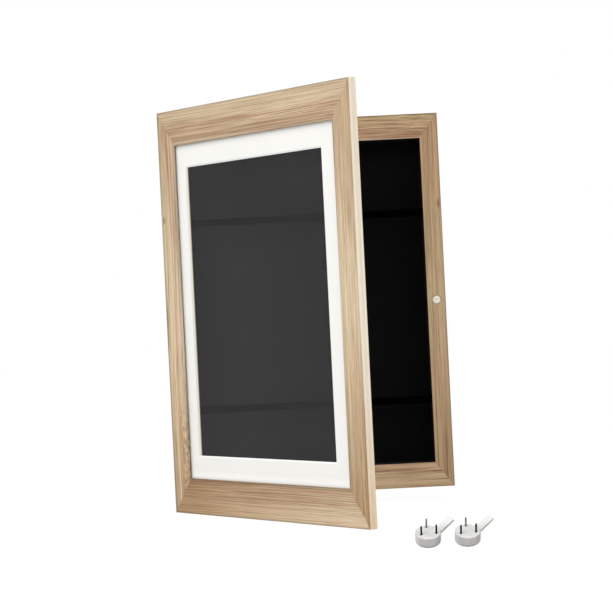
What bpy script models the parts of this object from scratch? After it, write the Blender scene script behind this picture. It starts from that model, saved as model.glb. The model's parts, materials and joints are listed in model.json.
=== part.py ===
"""Children's art frame: a shallow storage box with a hinged, glazed and matted front door.

X runs to the right, Y away from the viewer, Z up. The origin is the middle of the back panel's
rear face, which lies against the wall. Everything is built as if the door were shut; the door
pieces then hang from an empty on the hinge line, which is turned by the opening angle.
"""
import math

import bmesh
import bpy
from mathutils import Matrix, Vector

mm = 0.001

# Box (cabinet), outside sizes and the widths of its rim
cabinet_width = 250.0 * mm
cabinet_height = 347.4 * mm
cabinet_depth = 30.0 * mm
cabinet_rail_width = 22.7 * mm
cabinet_stile_width = 17.0 * mm
cabinet_arris = 0.8 * mm

# Back panel and the rabbet that takes it, as a share of the rim's width
panel_thickness = 3.0 * mm
panel_rabbet_share = 0.35

# Door leaf: thickness, mouldings, and how far it laps over the box
door_thickness = 8.4 * mm
door_rail_width = 32.5 * mm
door_stile_width = 23.4 * mm
door_lap_top = 11.5 * mm
door_lap_hinge_side = 2.9 * mm
door_lap_free_side = 8.1 * mm
door_relief = 1.6 * mm
glazing_seat_depth = 2.3 * mm
door_rabbet_share = 0.12
door_open_degrees = 48.4

# Glazing and mat, with the borders that show round the bevelled window. The window sits a little
# toward the hinges.
glazing_thickness = 1.0 * mm
mat_thickness = 1.4 * mm
mat_hinge_side_border = 13.2 * mm
mat_free_side_border = 18.5 * mm
mat_end_border = 20.9 * mm

# Clearances
seat_gap = 0.3 * mm
mitre_gap = 0.3 * mm
sheet_play = 0.5 * mm
door_gap = 0.3 * mm
overrun = 2.0 * mm
weld_distance = 0.0001 * mm
sharp_degrees = 35.0

# Elastic straps inside the box
strap_height = 6.8 * mm
strap_thickness = 1.1 * mm
strap_set_back = 3.2 * mm
strap_tab_length = 13.0 * mm
strap_bend_radius = 2.0 * mm
upper_strap_level = 81.9 * mm
lower_strap_level = -92.4 * mm

# Staples that hold the strap ends
staple_wire = 0.7 * mm
staple_leg_length = 6.0 * mm
staple_from_tab_end = 4.0 * mm

# Magnet catch in the box and the steel tack it pulls on
magnet_diameter = 8.0 * mm
magnet_thickness = 3.0 * mm
magnet_edge = 0.35 * mm
magnet_dimple_diameter = 3.0 * mm
magnet_dimple_depth = 0.4 * mm
tack_head_diameter = 6.0 * mm
tack_head_thickness = 0.8 * mm
tack_shank_diameter = 1.6 * mm
tack_shank_length = 4.2 * mm

# Butt hinges
hinge_from_end = 52.0 * mm
hinge_height = 26.0 * mm
hinge_middle_knuckle = 8.6 * mm
knuckle_diameter = 3.0 * mm
knuckle_gap = 0.3 * mm
hinge_pin_diameter = 1.3 * mm
pin_play = 0.3 * mm
pin_head_diameter = 2.4 * mm
pin_head_height = 0.7 * mm
hinge_leaf_thickness = 0.9 * mm
hinge_leaf_width = 10.2 * mm
hinge_side_gap = 0.2 * mm
hinge_screw_head = 3.8 * mm
hinge_screw_shank = 1.8 * mm
hinge_screw_length = 5.0 * mm
hinge_screw_spacing = 16.0 * mm
hinge_screw_from_leaf_end = 4.4 * mm
screw_slot_width = 0.5 * mm
screw_slot_depth = 0.35 * mm

# Glazier's points that hold the mat in the door
point_width = 5.0 * mm
point_thickness = 0.5 * mm
point_length = 9.0 * mm
point_bite = 3.4 * mm
rail_point_shares = (-0.5, 0.5)
stile_point_shares = (-0.5, 0.5)

# Sawtooth hangers let into the rear of the box
hanger_length = 44.0 * mm
hanger_height = 7.0 * mm
hanger_thickness = 0.8 * mm
hanger_tooth_depth = 1.3 * mm
hanger_tooth_run = 26.0 * mm
hanger_teeth = 13
hanger_from_edge = 2.2 * mm
hanger_pocket_depth = 3.4 * mm
hanger_pocket_below = 1.6 * mm
hanger_nail_head = 2.8 * mm
hanger_nail_shank = 1.2 * mm
hanger_nail_length = 8.0 * mm
hanger_nail_from_end = 4.0 * mm

# Hard-wall picture hooks that come with the frame, lying in front of it
hook_diameter = 19.5 * mm
hook_thickness = 11.0 * mm
hook_dome_radius = 20.0 * mm
hook_rim_radius = 2.5 * mm
hook_shoulder_radius = 1.2 * mm
hook_lean_degrees = 24.0
hook_spacing = 29.4 * mm
hook_from_middle = 77.8 * mm
hook_in_front = 320.3 * mm
right_hook_nearer = 4.0 * mm
hook_arm_length = 13.2 * mm
hook_arm_width = 6.6 * mm
hook_arm_thickness = 1.9 * mm
hook_arm_corner = 0.8 * mm
hook_arm_turn_degrees = 27.0
hook_arm_rise_degrees = 31.0
hook_pin_circle = 13.2 * mm
hook_pin_degrees = (96, 216, 336)
hook_pin_diameter = 1.4 * mm
hook_pin_stand = 8.0 * mm
hook_pin_depth = 4.6 * mm

# Section of the door moulding, outer edge to sight edge: share of width, share of relief
door_face_shares = (
    (0.000, 0.30), (0.010, 0.12), (0.022, 0.03), (0.036, 0.00), (0.066, 0.00), (0.084, 0.05),
    (0.106, 0.17), (0.132, 0.31), (0.164, 0.43), (0.205, 0.53), (0.255, 0.60), (0.320, 0.64),
    (0.390, 0.64), (0.455, 0.60), (0.510, 0.53), (0.538, 0.49), (0.545, 0.92), (0.556, 0.98),
    (0.567, 0.92), (0.574, 0.42), (0.586, 0.33), (0.605, 0.29), (0.650, 0.29), (0.705, 0.34),
    (0.765, 0.43), (0.820, 0.55), (0.862, 0.67), (0.870, 0.88), (0.883, 0.93), (0.896, 0.88),
    (0.904, 0.68), (0.918, 0.61), (0.945, 0.59), (0.970, 0.63), (0.988, 0.73), (1.000, 0.90),
)

# Section of the box rim, outer edge to inner edge: share of width, share of the arris
cabinet_face_shares = (
    (0.000, 1.00), (0.006, 0.60), (0.018, 0.22), (0.036, 0.00), (0.925, 0.00), (0.950, 0.08),
    (0.972, 0.30), (0.990, 0.62), (1.000, 1.00),
)

# Places that follow from the sizes above
cabinet_front = -cabinet_depth
door_back = cabinet_front - door_gap
door_front = door_back - door_thickness
door_width = cabinet_width + door_lap_hinge_side + door_lap_free_side
door_height = cabinet_height + 2 * door_lap_top
door_middle = (door_lap_free_side - door_lap_hinge_side) / 2
knuckle_radius = knuckle_diameter / 2
hinge_x = -cabinet_width / 2 - knuckle_radius - hinge_side_gap
hinge_y = cabinet_front + knuckle_radius
hinge_level = cabinet_height / 2 - hinge_from_end
leaf_near = knuckle_radius + hinge_side_gap
leaf_far = leaf_near + hinge_leaf_width
interior_width = cabinet_width - 2 * cabinet_stile_width
interior_height = cabinet_height - 2 * cabinet_rail_width
sight_width = door_width - 2 * door_stile_width
sight_height = door_height - 2 * door_rail_width
mat_window_width = sight_width - mat_hinge_side_border - mat_free_side_border
mat_window_middle = door_middle + (mat_hinge_side_border - mat_free_side_border) / 2
mat_window_height = sight_height - 2 * mat_end_border
magnet_x = cabinet_width / 2 - cabinet_stile_width / 2
panel_seat = -(panel_thickness + seat_gap)

for old in list(bpy.data.objects):
    bpy.data.objects.remove(old, do_unlink=True)

door_swing = bpy.data.objects.new("door_swing", None)
door_swing.location = (hinge_x, hinge_y, 0)
door_swing.rotation_euler = (0, 0, -math.radians(door_open_degrees))
bpy.context.scene.collection.objects.link(door_swing)


def make_material(name, colour, roughness, metallic=0.0, alpha=1.0):
    material = bpy.data.materials.new(name)
    material.use_nodes = True
    shader = material.node_tree.nodes["Principled BSDF"]
    shader.inputs["Base Color"].default_value = (*colour, 1.0)
    shader.inputs["Roughness"].default_value = roughness
    shader.inputs["Metallic"].default_value = metallic
    shader.inputs["Alpha"].default_value = alpha
    material.diffuse_color = (*colour, alpha)
    return material


def publish(name, shape, look, origin=(0, 0, 0), on_door=False, smooth=False):
    """Turns a bmesh drawn in shut-door coordinates into a placed object with its own material."""
    bmesh.ops.remove_doubles(shape, verts=shape.verts, dist=weld_distance)
    bmesh.ops.recalc_face_normals(shape, faces=shape.faces)
    place = Vector(origin)
    bmesh.ops.translate(shape, verts=shape.verts, vec=-place)
    mesh = bpy.data.meshes.new(name)
    shape.to_mesh(mesh)
    shape.free()
    if smooth:
        mesh.shade_smooth()
        mesh.set_sharp_from_angle(angle=math.radians(sharp_degrees))
    piece = bpy.data.objects.new(name, mesh)
    bpy.context.scene.collection.objects.link(piece)
    piece.data.materials.append(make_material(name, *look))
    if on_door:
        piece.parent = door_swing
        piece.location = place - Vector((hinge_x, hinge_y, 0))
    else:
        piece.location = place
    return piece


def combine(shape, tool, operation):
    """Boolean of two bmeshes; both are used up and the result comes back. It is worked out in
    millimetres, because its tolerances are too coarse for details this small in metres."""
    holders = []
    for each in (shape, tool):
        bmesh.ops.recalc_face_normals(each, faces=each.faces)
        bmesh.ops.scale(each, vec=(1 / mm, 1 / mm, 1 / mm), verts=each.verts)
        mesh = bpy.data.meshes.new("boolean")
        each.to_mesh(mesh)
        each.free()
        holder = bpy.data.objects.new("boolean", mesh)
        bpy.context.scene.collection.objects.link(holder)
        holders.append(holder)
    step = holders[0].modifiers.new("boolean", "BOOLEAN")
    step.operation = operation
    step.solver = "EXACT"
    step.object = holders[1]
    depsgraph = bpy.context.evaluated_depsgraph_get()
    result_mesh = bpy.data.meshes.new_from_object(holders[0].evaluated_get(depsgraph))
    result = bmesh.new()
    result.from_mesh(result_mesh)
    bmesh.ops.scale(result, vec=(mm, mm, mm), verts=result.verts)
    bpy.data.meshes.remove(result_mesh)
    for holder in holders:
        mesh = holder.data
        bpy.data.objects.remove(holder, do_unlink=True)
        bpy.data.meshes.remove(mesh)
    return result


def cut_away(shape, tools):
    for tool in tools:
        shape = combine(shape, tool, "DIFFERENCE")
    return shape


def gather(shape, into):
    """Adds one bmesh to another that it doesn't touch."""
    mesh = bpy.data.meshes.new("gathered")
    shape.to_mesh(mesh)
    shape.free()
    into.from_mesh(mesh)
    bpy.data.meshes.remove(mesh)


def add_box(low, high, shape=None):
    """A box between two corners, added to a bmesh."""
    shape = shape or bmesh.new()
    low, high = Vector(low), Vector(high)
    size = high - low
    placed = Matrix.Translation((low + high) / 2) @ Matrix.Diagonal((*size, 1.0))
    bmesh.ops.create_cube(shape, size=1.0, matrix=placed)
    return shape


def add_turned(outline, base, axis, sides=20, shape=None):
    """A solid of revolution: outline holds (radius, height) from one end of the axis to the other."""
    shape = shape or bmesh.new()
    upright = Vector(axis).to_track_quat("Z", "Y").to_matrix().to_4x4()
    placed = Matrix.Translation(base) @ upright
    rings = []
    for radius, height in outline:
        ring = []
        for step in range(sides if radius > 0 else 1):
            angle = 2 * math.pi * step / sides
            spot = Vector((radius * math.cos(angle), radius * math.sin(angle), height))
            ring.append(shape.verts.new(placed @ spot))
        rings.append(ring)
    for lower, upper in zip(rings, rings[1:]):
        for step in range(sides):
            beside = (step + 1) % sides
            corners = [ring[place % len(ring)] for ring, place in (
                (lower, step), (lower, beside), (upper, beside), (upper, step),
            )]
            shape.faces.new(list(dict.fromkeys(corners)))
    return shape


def add_rod(base, axis, radius, length, sides=12, shape=None):
    """A plain cylinder that starts at base and runs along axis."""
    return add_turned(((0, 0), (radius, 0), (radius, length), (0, length)), base, axis, sides, shape)


def add_prism(outline, direction, shape=None):
    """An outline of points in space, extruded along a vector."""
    shape = shape or bmesh.new()
    corners = [shape.verts.new(point) for point in outline]
    face = shape.faces.new(corners)
    grown = bmesh.ops.extrude_face_region(shape, geom=[face])
    moved = [item for item in grown["geom"] if isinstance(item, bmesh.types.BMVert)]
    bmesh.ops.translate(shape, verts=moved, vec=Vector(direction))
    return shape


def moulding(section, outer_length, own_width, meeting_width, turn, place):
    """A mitred moulding. Section holds (share of width from the outer edge, y). Its corners run
    from outer to inner corner of the frame, so unequal widths still meet along one line."""
    shape = bmesh.new()
    half = outer_length / 2 - mitre_gap / 2
    near = []
    for share, y in section:
        near.append(shape.verts.new((half - share * meeting_width, y, -share * own_width)))
    face = shape.faces.new(near)
    grown = bmesh.ops.extrude_face_region(shape, geom=[face])
    for item in grown["geom"]:
        if isinstance(item, bmesh.types.BMVert):
            item.co.x = -item.co.x
    turned = Matrix.Translation(place) @ Matrix.Rotation(turn, 4, "Y")
    bmesh.ops.transform(shape, matrix=turned, verts=shape.verts)
    return shape


def frame_pieces(section, width, height, rail_width, stile_width, middle):
    """The four mouldings of a rectangular frame: top, bottom, left and right."""
    quarter = math.pi / 2
    return {
        "top": moulding(section, width, rail_width, stile_width, 0, (middle, 0, height / 2)),
        "bottom": moulding(
            section, width, rail_width, stile_width, 2 * quarter, (middle, 0, -height / 2)
        ),
        "left": moulding(
            section, height, stile_width, rail_width, -quarter, (middle - width / 2, 0, 0)
        ),
        "right": moulding(
            section, height, stile_width, rail_width, quarter, (middle + width / 2, 0, 0)
        ),
    }


# Looks: base colour, roughness, metallic, alpha
oak = ((0.56, 0.40, 0.26), 0.5)
box_oak = ((0.40, 0.27, 0.16), 0.55)
black_board = ((0.012, 0.012, 0.012), 0.8)
black_elastic = ((0.006, 0.006, 0.006), 0.85)
clear_sheet = ((0.95, 0.97, 0.97), 0.03, 0.0, 0.2)
white_card = ((0.90, 0.90, 0.88), 0.8)
white_plastic = ((0.80, 0.80, 0.79), 0.4)
zinc = ((0.60, 0.60, 0.58), 0.35, 1.0)
brassed = ((0.62, 0.50, 0.30), 0.35, 1.0)
nickel = ((0.74, 0.72, 0.66), 0.3, 1.0)

# Box rim
cabinet_section = []
for share, part in cabinet_face_shares:
    cabinet_section.append((share, cabinet_front + part * cabinet_arris))
cabinet_section += [
    (1, panel_seat),
    (1 - panel_rabbet_share, panel_seat),
    (1 - panel_rabbet_share, 0),
    (0, 0),
]
cabinet = frame_pieces(
    cabinet_section, cabinet_width, cabinet_height, cabinet_rail_width, cabinet_stile_width, 0
)

panel_half_width = interior_width / 2 + cabinet_stile_width * panel_rabbet_share - sheet_play
panel_half_height = interior_height / 2 + cabinet_rail_width * panel_rabbet_share - sheet_play
panel = add_box(
    (-panel_half_width, -panel_thickness, -panel_half_height), (panel_half_width, 0, panel_half_height)
)
publish("back_panel", panel, black_board)


def add_strap(level):
    """An elastic strap across the box, its two ends turned back along the inner walls."""
    reach = interior_width / 2 - seat_gap
    front = cabinet_front + strap_set_back
    bend_steps = 5
    outer, inner = [], []
    for side in (1, -1):
        turns = []
        for step in range(bend_steps + 1):
            angle = math.pi / 2 * step / bend_steps
            turns.append(angle if side > 0 else math.pi / 2 - angle)
        middle = Vector((side * (reach - strap_bend_radius), front + strap_bend_radius))
        for angle in turns:
            out = Vector((side * math.cos(angle), -math.sin(angle)))
            outer.append(middle + out * strap_bend_radius)
            inner.append(middle + out * (strap_bend_radius - strap_thickness))
    tab_end = front + strap_tab_length
    outline = [(reach, tab_end)] + [tuple(point) for point in outer] + [(-reach, tab_end)]
    outline += [(-reach + strap_thickness, tab_end)]
    outline += [tuple(point) for point in reversed(inner)]
    outline += [(reach - strap_thickness, tab_end)]
    bottom = level - strap_height / 2
    return add_prism([(x, y, bottom) for x, y in outline], (0, 0, strap_height))


staple_y = cabinet_front + strap_set_back + strap_tab_length - staple_from_tab_end


def add_staple_holes(side, level, shape):
    """Two blind holes in the wall, just above and below a strap, for a staple's legs."""
    wall = interior_width / 2
    half_wire = staple_wire / 2 + seat_gap
    leg_level = strap_height / 2 + seat_gap + staple_wire / 2
    for up in (1, -1):
        z = level + up * leg_level
        low = (wall - overrun, staple_y - half_wire, z - half_wire)
        high = (wall + staple_leg_length + seat_gap, staple_y + half_wire, z + half_wire)
        if side < 0:
            low, high = (-high[0], low[1], low[2]), (-low[0], high[1], high[2])
        add_box(low, high, shape)
    return shape


def make_staple(side, level):
    """A staple over a strap's end, as one bent wire of square section: crown on the strap."""
    wall = interior_width / 2
    strap_face = wall - seat_gap - strap_thickness - seat_gap
    leg_out = strap_height / 2 + seat_gap
    far = leg_out + staple_wire
    tip = wall + staple_leg_length
    crown = strap_face - staple_wire
    outline = [
        (tip, leg_out), (strap_face, leg_out), (strap_face, -leg_out), (tip, -leg_out),
        (tip, -far), (crown, -far), (crown, far), (tip, far),
    ]
    points = [(side * x, staple_y - staple_wire / 2, level + z) for x, z in outline]
    return add_prism(points, (0, staple_wire, 0))


publish("upper_elastic_strap", add_strap(upper_strap_level), black_elastic)
publish("lower_elastic_strap", add_strap(lower_strap_level), black_elastic)
strap_levels = {"upper": upper_strap_level, "lower": lower_strap_level}
for side, name in ((-1, "left"), (1, "right")):
    holes = bmesh.new()
    for which, level in strap_levels.items():
        add_staple_holes(side, level, holes)
        place = (side * interior_width / 2, staple_y, level)
        publish(which + "_" + name + "_strap_staple", make_staple(side, level), zinc, origin=place)
    cabinet[name] = cut_away(cabinet[name], [holes])

# Magnet let into the right side of the rim, with a small dimple
magnet_radius = magnet_diameter / 2
dimple_radius = magnet_dimple_diameter / 2
magnet_outline = (
    (0, magnet_thickness), (magnet_radius, magnet_thickness), (magnet_radius, magnet_edge),
    (magnet_radius - magnet_edge, 0), (dimple_radius, 0), (dimple_radius / 2, magnet_dimple_depth),
    (0, magnet_dimple_depth),
)
magnet = add_turned(magnet_outline, (magnet_x, cabinet_front, 0), (0, 1, 0), 28)
publish("catch_magnet", magnet, nickel, origin=(magnet_x, cabinet_front, 0), smooth=True)
magnet_hole = add_rod(
    (magnet_x, cabinet_front - overrun, 0), (0, 1, 0), magnet_radius + seat_gap,
    overrun + magnet_thickness + seat_gap, 28,
)
cabinet["right"] = cut_away(cabinet["right"], [magnet_hole])


# Butt hinges. Their pieces are drawn about the hinge line and then moved to their level.
def leaf_face(for_door):
    """Where a leaf's open face lies in front of the hinge line: flush with the wood it is let into."""
    return -knuckle_radius - (door_gap if for_door else 0)


def hinge_leaf_outline(for_door):
    """Plan of a leaf curled about its pin, as (x, y) points from the hinge line."""
    face = leaf_face(for_door)
    if for_door:
        sunk = face - hinge_leaf_thickness
        neck = knuckle_radius / 2
        start = -math.acos(neck / knuckle_radius)
        end = math.pi - start
        before, after = [(leaf_far, face), (neck, face)], [(-neck, sunk), (leaf_far, sunk)]
    else:
        sunk = face + hinge_leaf_thickness
        start = math.asin(sunk / knuckle_radius)
        end = 3 * math.pi / 2
        before, after = [(leaf_far, sunk)], [(leaf_far, face)]
    arc_steps = 15
    curl = []
    for step in range(arc_steps + 1):
        angle = start + (end - start) * step / arc_steps
        curl.append((knuckle_radius * math.cos(angle), knuckle_radius * math.sin(angle)))
    return before + curl + after


def make_hinge_leaf(for_door):
    """One leaf: the curled plate, slotted for the other leaf's knuckles, bored and countersunk."""
    half = hinge_height / 2
    inner_half = hinge_middle_knuckle / 2
    leaf = add_prism([(x, y, -half) for x, y in hinge_leaf_outline(for_door)], (0, 0, hinge_height))
    if for_door:
        spans = ((-half - overrun, -inner_half), (inner_half, half + overrun))
    else:
        spans = ((-inner_half - knuckle_gap, inner_half + knuckle_gap),)
    deep = knuckle_diameter + overrun
    slots = bmesh.new()
    for low, high in spans:
        add_box((-deep, -deep, low), (leaf_near, deep, high), slots)
    bore = add_rod(
        (0, 0, -half - overrun), (0, 0, 1), hinge_pin_diameter / 2 + pin_play,
        hinge_height + 2 * overrun, 12,
    )
    return cut_away(leaf, [slots, bore, hinge_screw_holes(for_door)])


def hinge_screw_spot(up, for_door):
    return Vector((
        leaf_far - hinge_screw_from_leaf_end, leaf_face(for_door), up * hinge_screw_spacing / 2,
    ))


def hinge_screw_holes(for_door):
    """Countersunk holes for the two screws of a leaf."""
    head, shank = hinge_screw_head / 2 + seat_gap, hinge_screw_shank / 2 + seat_gap
    length = hinge_screw_length + seat_gap
    outline = (
        (0, -overrun), (head, -overrun), (head, 0), (shank, head - shank), (shank, length), (0, length),
    )
    shape = bmesh.new()
    for up in (1, -1):
        add_turned(outline, hinge_screw_spot(up, for_door), (0, -1 if for_door else 1, 0), 14, shape)
    return shape


def make_hinge_screw():
    """One countersunk screw with its driver slot, head down at the origin."""
    head, shank = hinge_screw_head / 2, hinge_screw_shank / 2
    outline = (
        (0, 0), (head, 0), (shank, head - shank), (shank, hinge_screw_length), (0, hinge_screw_length),
    )
    half_slot = screw_slot_width / 2
    slot = add_box(
        (-hinge_screw_head, -half_slot, -overrun), (hinge_screw_head, half_slot, screw_slot_depth)
    )
    return cut_away(add_turned(outline, (0, 0, 0), (0, 0, 1), 14), [slot])


hinge_spots = {
    "upper": Vector((hinge_x, hinge_y, hinge_level)),
    "lower": Vector((hinge_x, hinge_y, -hinge_level)),
}
pin_radius, pin_head = hinge_pin_diameter / 2, pin_head_diameter / 2
pin_reach = hinge_height / 2 + pin_play
pin_end = pin_reach + pin_head_height
pin_outline = (
    (0, -pin_end), (pin_head, -pin_end), (pin_head, -pin_reach), (pin_radius, -pin_reach),
    (pin_radius, pin_reach), (pin_head, pin_reach), (pin_head, pin_end), (0, pin_end),
)
for which, spot in hinge_spots.items():
    to_level = Matrix.Translation(spot)
    pin = add_turned(pin_outline, spot, (0, 0, 1), 12)
    publish(which + "_hinge_pin", pin, brassed, origin=spot, smooth=True)
    for carrier, for_door in (("cabinet", False), ("door", True)):
        leaf = make_hinge_leaf(for_door)
        bmesh.ops.transform(leaf, matrix=to_level, verts=leaf.verts)
        name = which + "_hinge_" + carrier
        publish(name + "_leaf", leaf, brassed, origin=spot, on_door=for_door, smooth=True)
        inward = Matrix.Rotation(math.pi / 2 if for_door else -math.pi / 2, 4, "X")
        for end, up in (("top", 1), ("bottom", -1)):
            place = spot + hinge_screw_spot(up, for_door)
            screw = make_hinge_screw()
            bmesh.ops.transform(screw, matrix=Matrix.Translation(place) @ inward, verts=screw.verts)
            publish(name + "_" + end + "_screw", screw, brassed, origin=place, on_door=for_door, smooth=True)


def hinge_mortises(for_door):
    """Pockets for the two leaves, open at the edge where the knuckles stand, and their screw holes."""
    half = hinge_height / 2 + seat_gap
    far = leaf_far + seat_gap
    face = leaf_face(for_door)
    if for_door:
        near = knuckle_radius - seat_gap
        open_side = -door_lap_hinge_side - overrun
        neck_half = hinge_middle_knuckle / 2 + seat_gap
        low, high = face - hinge_leaf_thickness - seat_gap, face + overrun
        plan = (
            (open_side, -neck_half), (near, -neck_half), (near, -half), (far, -half),
            (far, half), (near, half), (near, neck_half), (open_side, neck_half),
        )
    else:
        near = leaf_near - overrun
        low, high = face - overrun, face + hinge_leaf_thickness + seat_gap
        plan = ((near, -half), (far, -half), (far, half), (near, half))
    pockets, holes = bmesh.new(), bmesh.new()
    for spot in hinge_spots.values():
        to_level = Matrix.Translation(spot)
        pocket = add_prism([(x, low, z) for x, z in plan], (0, high - low, 0))
        screws = hinge_screw_holes(for_door)
        for shape, tool in ((pocket, pockets), (screws, holes)):
            bmesh.ops.transform(shape, matrix=to_level, verts=shape.verts)
            gather(shape, tool)
    return [pockets, holes]


cabinet["left"] = cut_away(cabinet["left"], hinge_mortises(False))


# Sawtooth hangers: one on the top rail, one on the left side for hanging the frame sideways
def hanger_shapes(turn, place):
    """Strip, nails and the tools that cut its seat. Drawn along X with +Z toward the edge."""
    half = hanger_length / 2
    top, bottom = hanger_height / 2, -hanger_height / 2
    tooth = hanger_tooth_run / hanger_teeth
    outline = [(-half, top), (-half, bottom), (-hanger_tooth_run / 2, bottom)]
    for step in range(hanger_teeth):
        start = -hanger_tooth_run / 2 + step * tooth
        outline += [(start + tooth / 2, bottom + hanger_tooth_depth), (start + tooth, bottom)]
    outline += [(half, bottom), (half, top)]
    strip = add_prism([(x, 0, z) for x, z in outline], (0, -hanger_thickness, 0))
    nails, holes = [bmesh.new(), bmesh.new()], bmesh.new()
    for nail, side in zip(nails, (-1, 1)):
        x = side * (half - hanger_nail_from_end)
        for shape, play in ((nail, 0), (holes, seat_gap)):
            head, shank = hanger_nail_head / 2 + play, hanger_nail_shank / 2 + play
            cone = hanger_thickness / 2
            start = -overrun if play else 0
            outline = (
                (0, start), (head, start), (head, 0), (shank, cone),
                (shank, hanger_nail_length + play), (0, hanger_nail_length + play),
            )
            if not play:
                outline = outline[:1] + outline[2:]
            add_turned(outline, (x, 0, 0), (0, -1, 0), 12, shape)
    seat = add_box(
        (-half - seat_gap, -hanger_thickness - seat_gap, bottom - seat_gap),
        (half + seat_gap, overrun, top + seat_gap),
    )
    pocket = add_box(
        (-hanger_tooth_run / 2, -hanger_pocket_depth, bottom - hanger_pocket_below),
        (hanger_tooth_run / 2, overrun, 0),
    )
    placed = Matrix.Translation(place) @ Matrix.Rotation(turn, 4, "Y")
    holes_for_strip = holes.copy()
    strip = cut_away(strip, [holes_for_strip])
    for shape in (strip, *nails, holes, seat, pocket):
        bmesh.ops.transform(shape, matrix=placed, verts=shape.verts)
    return strip, nails, [seat, pocket, holes]


top_hanger_place = (0, 0, cabinet_height / 2 - hanger_from_edge - hanger_height / 2)
side_hanger_place = (-cabinet_width / 2 + hanger_from_edge + hanger_height / 2, 0, 0)
top_strip, top_nails, top_tools = hanger_shapes(0, top_hanger_place)
side_strip, side_nails, side_tools = hanger_shapes(-math.pi / 2, side_hanger_place)
publish("top_sawtooth_hanger", top_strip, zinc, origin=top_hanger_place)
publish("side_sawtooth_hanger", side_strip, zinc, origin=side_hanger_place)
hanger_nails = (("top", top_nails, ("left", "right")), ("side", side_nails, ("lower", "upper")))
for hanger, nails, ends in hanger_nails:
    for nail, end in zip(nails, ends):
        publish(hanger + "_hanger_" + end + "_nail", nail, zinc, smooth=True)
cabinet["top"] = cut_away(cabinet["top"], top_tools)
cabinet["left"] = cut_away(cabinet["left"], side_tools)

cabinet_names = {
    "top": "cabinet_top_rail", "bottom": "cabinet_bottom_rail",
    "left": "cabinet_left_stile", "right": "cabinet_right_stile",
}
cabinet_places = {
    "top": (0, 0, cabinet_height / 2), "bottom": (0, 0, -cabinet_height / 2),
    "left": (-cabinet_width / 2, 0, 0), "right": (cabinet_width / 2, 0, 0),
}
for side, name in cabinet_names.items():
    publish(name, cabinet[side], box_oak, origin=cabinet_places[side])

# Door mouldings
door_section = [(share, door_front + part * door_relief) for share, part in door_face_shares]
door_section += [
    (1, door_front + glazing_seat_depth),
    (1 - door_rabbet_share, door_front + glazing_seat_depth),
    (1 - door_rabbet_share, door_back),
    (0, door_back),
]
door = frame_pieces(
    door_section, door_width, door_height, door_rail_width, door_stile_width, door_middle
)
door["left"] = cut_away(door["left"], hinge_mortises(True))

# Steel tack opposite the magnet
tack_radius, tack_shank = tack_head_diameter / 2, tack_shank_diameter / 2
tack_bottom = tack_head_thickness + tack_shank_length
tack_outline = (
    (0, 0), (tack_radius - magnet_edge, 0), (tack_radius, magnet_edge),
    (tack_radius, tack_head_thickness), (tack_shank, tack_head_thickness),
    (tack_shank, tack_bottom), (0, tack_bottom),
)
tack_place = (magnet_x, door_back, 0)
publish(
    "strike_tack", add_turned(tack_outline, tack_place, (0, -1, 0), 24), nickel, origin=tack_place,
    on_door=True, smooth=True,
)
head_room, shank_room = tack_radius + seat_gap, tack_shank + seat_gap
seat_depth, hole_depth = tack_head_thickness + seat_gap, tack_bottom + seat_gap
tack_hole_outline = (
    (0, -overrun), (head_room, -overrun), (head_room, seat_depth),
    (shank_room, seat_depth), (shank_room, hole_depth), (0, hole_depth),
)
door["right"] = cut_away(door["right"], [add_turned(tack_hole_outline, tack_place, (0, -1, 0), 24)])

# Clear sheet and mat, one behind the other in the door's rabbet
sheet_half_width = sight_width / 2 + door_stile_width * door_rabbet_share - sheet_play
sheet_half_height = sight_height / 2 + door_rail_width * door_rabbet_share - sheet_play
glazing_front = door_front + glazing_seat_depth + seat_gap
glazing_rear = glazing_front + glazing_thickness
mat_front = glazing_rear + seat_gap
mat_rear = mat_front + mat_thickness
glazing = add_box(
    (door_middle - sheet_half_width, glazing_front, -sheet_half_height),
    (door_middle + sheet_half_width, glazing_rear, sheet_half_height),
)
publish("clear_glazing", glazing, clear_sheet, origin=(door_middle, glazing_front, 0), on_door=True)


def make_mat():
    """A card with a window whose edge is bevelled at 45 degrees, wider at the front."""
    shape = bmesh.new()
    half_width, half_height = mat_window_width / 2, mat_window_height / 2
    loops = []
    for middle, wide, high, y in (
        (door_middle, sheet_half_width, sheet_half_height, mat_front),
        (mat_window_middle, half_width + mat_thickness, half_height + mat_thickness, mat_front),
        (mat_window_middle, half_width, half_height, mat_rear),
        (door_middle, sheet_half_width, sheet_half_height, mat_rear),
    ):
        corners = ((wide, high), (-wide, high), (-wide, -high), (wide, -high))
        loops.append([shape.verts.new((middle + x, y, z)) for x, z in corners])
    for index, loop in enumerate(loops):
        following = loops[(index + 1) % len(loops)]
        for corner in range(len(loop)):
            beside = (corner + 1) % len(loop)
            shape.faces.new((loop[corner], loop[beside], following[beside], following[corner]))
    return shape


publish("mat_board", make_mat(), white_card, origin=(door_middle, mat_front, 0), on_door=True)

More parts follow.
